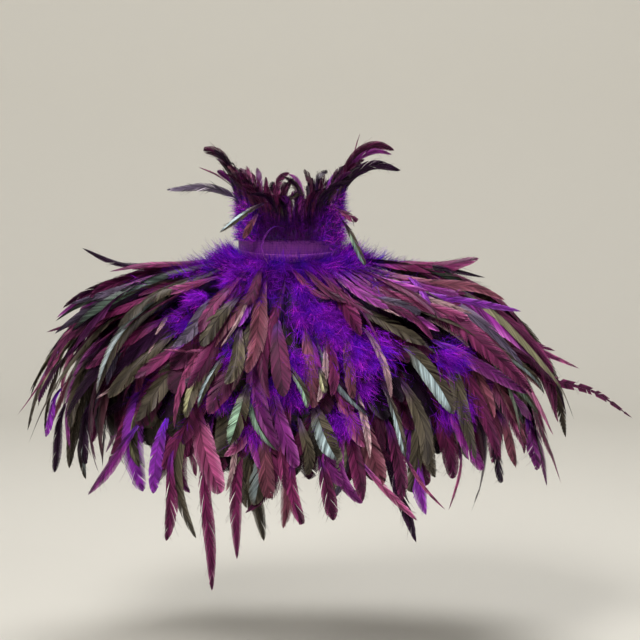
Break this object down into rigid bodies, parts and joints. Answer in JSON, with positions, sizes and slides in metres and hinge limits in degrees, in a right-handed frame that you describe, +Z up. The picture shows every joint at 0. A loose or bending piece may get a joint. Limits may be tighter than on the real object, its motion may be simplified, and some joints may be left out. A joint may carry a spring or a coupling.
{
  "type": "feather shawl",
  "caption": "Short shoulder shawl of layered dyed feathers on a cloth yoke, with a woven neck band, a stand-up feather collar and a plain clasp at the front.",
  "frame": {"origin": "centre of the neck opening, level with the yoke's neck edge at the shoulders", "axes": "+Z up, out of the neck opening; +X to the wearer's right, along the shoulders; +Y to the wearer's front, where the shawl opens"},
  "size_m": [0.7043, 0.3311, 0.4748],
  "materials": {
    "yoke_cloth": "plain dark violet cloth",
    "band_cloth": "ribbed violet ribbon with a line of stitches",
    "collar_plumage": "violet down with plum and black-green feather tips",
    "row_plumage": "plum, violet and black-green feathers with a soft gloss, violet down at the roots",
    "clasp_metal": "dark satin"
  },
  "bodies": {
    "root": {"yoke": "yoke_cloth", "collar_band": "band_cloth", "collar_feathers": "collar_plumage", "feather_row_1": "row_plumage", "feather_row_2": "row_plumage", "feather_row_3": "row_plumage", "feather_row_4": "row_plumage", "front_clasp": "clasp_metal"}
  },
  "joints": []
}
